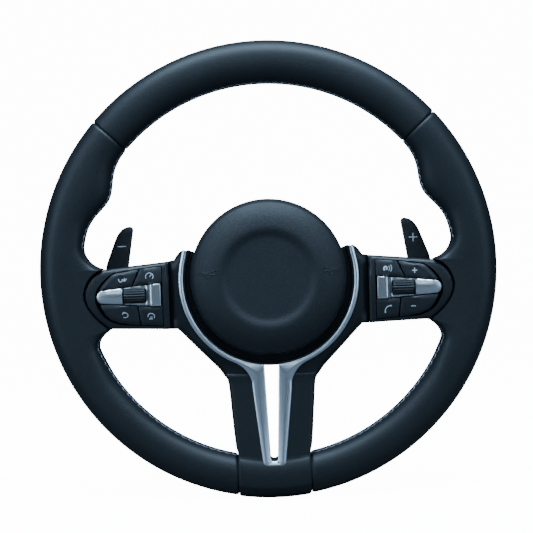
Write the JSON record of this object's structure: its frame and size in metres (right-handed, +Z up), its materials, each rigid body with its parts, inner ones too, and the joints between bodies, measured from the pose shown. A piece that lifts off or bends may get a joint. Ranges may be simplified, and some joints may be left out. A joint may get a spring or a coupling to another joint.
{
  "type": "car steering wheel",
  "caption": "Three-spoke car sports steering wheel with leather rim, round airbag module, switch pods on the side spokes and shift paddles behind.",
  "frame": {"origin": "on the steering axis, at the hub's rear seat against the steering column", "axes": "+Y along the steering axis, away from the driver; +X to the driver's right; +Z up with the wheel straight ahead"},
  "size_m": [0.37, 0.0837, 0.37],
  "materials": {
    "leather": "smooth dark blue-black leather, satin",
    "foam": "moulded foam, matte",
    "cast_metal": "die cast, matte",
    "steel": "zinc plated, satin",
    "dark_trim": "soft satin black plastic",
    "rear_plastic": "fine grained black plastic",
    "satin_silver": "satin galvanised silver",
    "airbag_skin": "grained soft plastic skin",
    "airbag_fabric": "folded nylon",
    "button_plastic": "satin black plastic with light pictograms",
    "paddle_plastic": "satin black plastic with a light sign",
    "circuit_board": "green circuit board",
    "cable_black": "black sleeved cable",
    "connector_plastic": "yellow plastic"
  },
  "bodies": {
    "wheel": {"armature": "cast_metal", "hub_insert": "steel", "rim_foam": "foam", "leather_top": "leather", "leather_left_grip": "leather", "leather_right_grip": "leather", "leather_bottom": "leather", "front_trim": "dark_trim", "silver_trim": "satin_silver", "rear_cover": "rear_plastic", "rear_screw_1": "steel", "rear_screw_2": "steel", "rear_screw_3": "steel", "rear_screw_4": "steel", "horn_spring_1": "steel", "horn_spring_2": "steel", "horn_spring_3": "steel", "left_switch_housing": "dark_trim", "left_switch_board": "circuit_board", "left_bezel": "satin_silver", "left_roller_axle": "steel", "left_paddle_bracket": "cast_metal", "left_paddle_pin": "steel", "left_paddle_spring": "steel", "left_paddle_switch": "rear_plastic", "left_harness_lead": "cable_black", "right_switch_housing": "dark_trim", "right_switch_board": "circuit_board", "right_bezel": "satin_silver", "right_roller_axle": "steel", "right_paddle_bracket": "cast_metal", "right_paddle_pin": "steel", "right_paddle_spring": "steel", "right_paddle_switch": "rear_plastic", "right_harness_lead": "cable_black", "harness_connector": "connector_plastic"},
    "airbag_module": {"airbag_cover": "airbag_skin", "airbag_pan": "steel", "folded_airbag": "airbag_fabric", "gas_generator": "steel", "horn_pin_1": "steel", "horn_pin_2": "steel", "horn_pin_3": "steel"},
    "left_roller": {"left_roller": "button_plastic"},
    "left_paddle": {"left_paddle": "paddle_plastic"},
    "left_button_upper_inner": {"left_button_upper_inner": "button_plastic"},
    "left_button_upper_outer": {"left_button_upper_outer": "button_plastic"},
    "left_button_lower_inner": {"left_button_lower_inner": "button_plastic"},
    "left_button_lower_outer": {"left_button_lower_outer": "button_plastic"},
    "right_roller": {"right_roller": "button_plastic"},
    "right_paddle": {"right_paddle": "paddle_plastic"},
    "right_button_upper_inner": {"right_button_upper_inner": "button_plastic"},
    "right_button_upper_outer": {"right_button_upper_outer": "button_plastic"},
    "right_button_lower_inner": {"right_button_lower_inner": "button_plastic"},
    "right_button_lower_outer": {"right_button_lower_outer": "button_plastic"}
  },
  "joints": [
    {"name": "horn_press", "type": "slide", "parent": "wheel", "child": "airbag_module", "axis": [0, 1, 0], "range_m": [0, 0.002], "stiffness_N_per_m": 12000, "deforming": ["horn_spring_1", "horn_spring_2", "horn_spring_3"]},
    {"name": "left_upper_inner_press", "type": "slide", "parent": "wheel", "child": "left_button_upper_inner", "axis": [0, 1, 0], "range_m": [0, 0.001], "stiffness_N_per_m": 1500},
    {"name": "left_upper_outer_press", "type": "slide", "parent": "wheel", "child": "left_button_upper_outer", "axis": [0, 1, 0], "range_m": [0, 0.001], "stiffness_N_per_m": 1500},
    {"name": "left_lower_inner_press", "type": "slide", "parent": "wheel", "child": "left_button_lower_inner", "axis": [0, 1, 0], "range_m": [0, 0.001], "stiffness_N_per_m": 1500},
    {"name": "left_lower_outer_press", "type": "slide", "parent": "wheel", "child": "left_button_lower_outer", "axis": [0, 1, 0], "range_m": [0, 0.001], "stiffness_N_per_m": 1500},
    {"name": "left_roller_turn", "type": "hinge", "parent": "wheel", "child": "left_roller", "pos_m": [-0.1081, -0.0693, -0.0174], "axis": [1, 0, 0], "range_deg": [-20, 20], "stiffness_Nm_per_rad": 0.02},
    {"name": "left_paddle_pull", "type": "hinge", "parent": "wheel", "child": "left_paddle", "pos_m": [-0.074, -0.0375, -0.0218], "axis": [0, 0, 1], "range_deg": [0, 4.5], "stiffness_Nm_per_rad": 1.2},
    {"name": "right_upper_inner_press", "type": "slide", "parent": "wheel", "child": "right_button_upper_inner", "axis": [0, 1, 0], "range_m": [0, 0.001], "stiffness_N_per_m": 1500},
    {"name": "right_upper_outer_press", "type": "slide", "parent": "wheel", "child": "right_button_upper_outer", "axis": [0, 1, 0], "range_m": [0, 0.001], "stiffness_N_per_m": 1500},
    {"name": "right_lower_inner_press", "type": "slide", "parent": "wheel", "child": "right_button_lower_inner", "axis": [0, 1, 0], "range_m": [0, 0.001], "stiffness_N_per_m": 1500},
    {"name": "right_lower_outer_press", "type": "slide", "parent": "wheel", "child": "right_button_lower_outer", "axis": [0, 1, 0], "range_m": [0, 0.001], "stiffness_N_per_m": 1500},
    {"name": "right_roller_turn", "type": "hinge", "parent": "wheel", "child": "right_roller", "pos_m": [0.1081, -0.0693, -0.0174], "axis": [1, 0, 0], "continuous": true},
    {"name": "right_paddle_pull", "type": "hinge", "parent": "wheel", "child": "right_paddle", "pos_m": [0.074, -0.0375, -0.0218], "axis": [0, 0, -1], "range_deg": [0, 4.5], "stiffness_Nm_per_rad": 1.2}
  ]
}
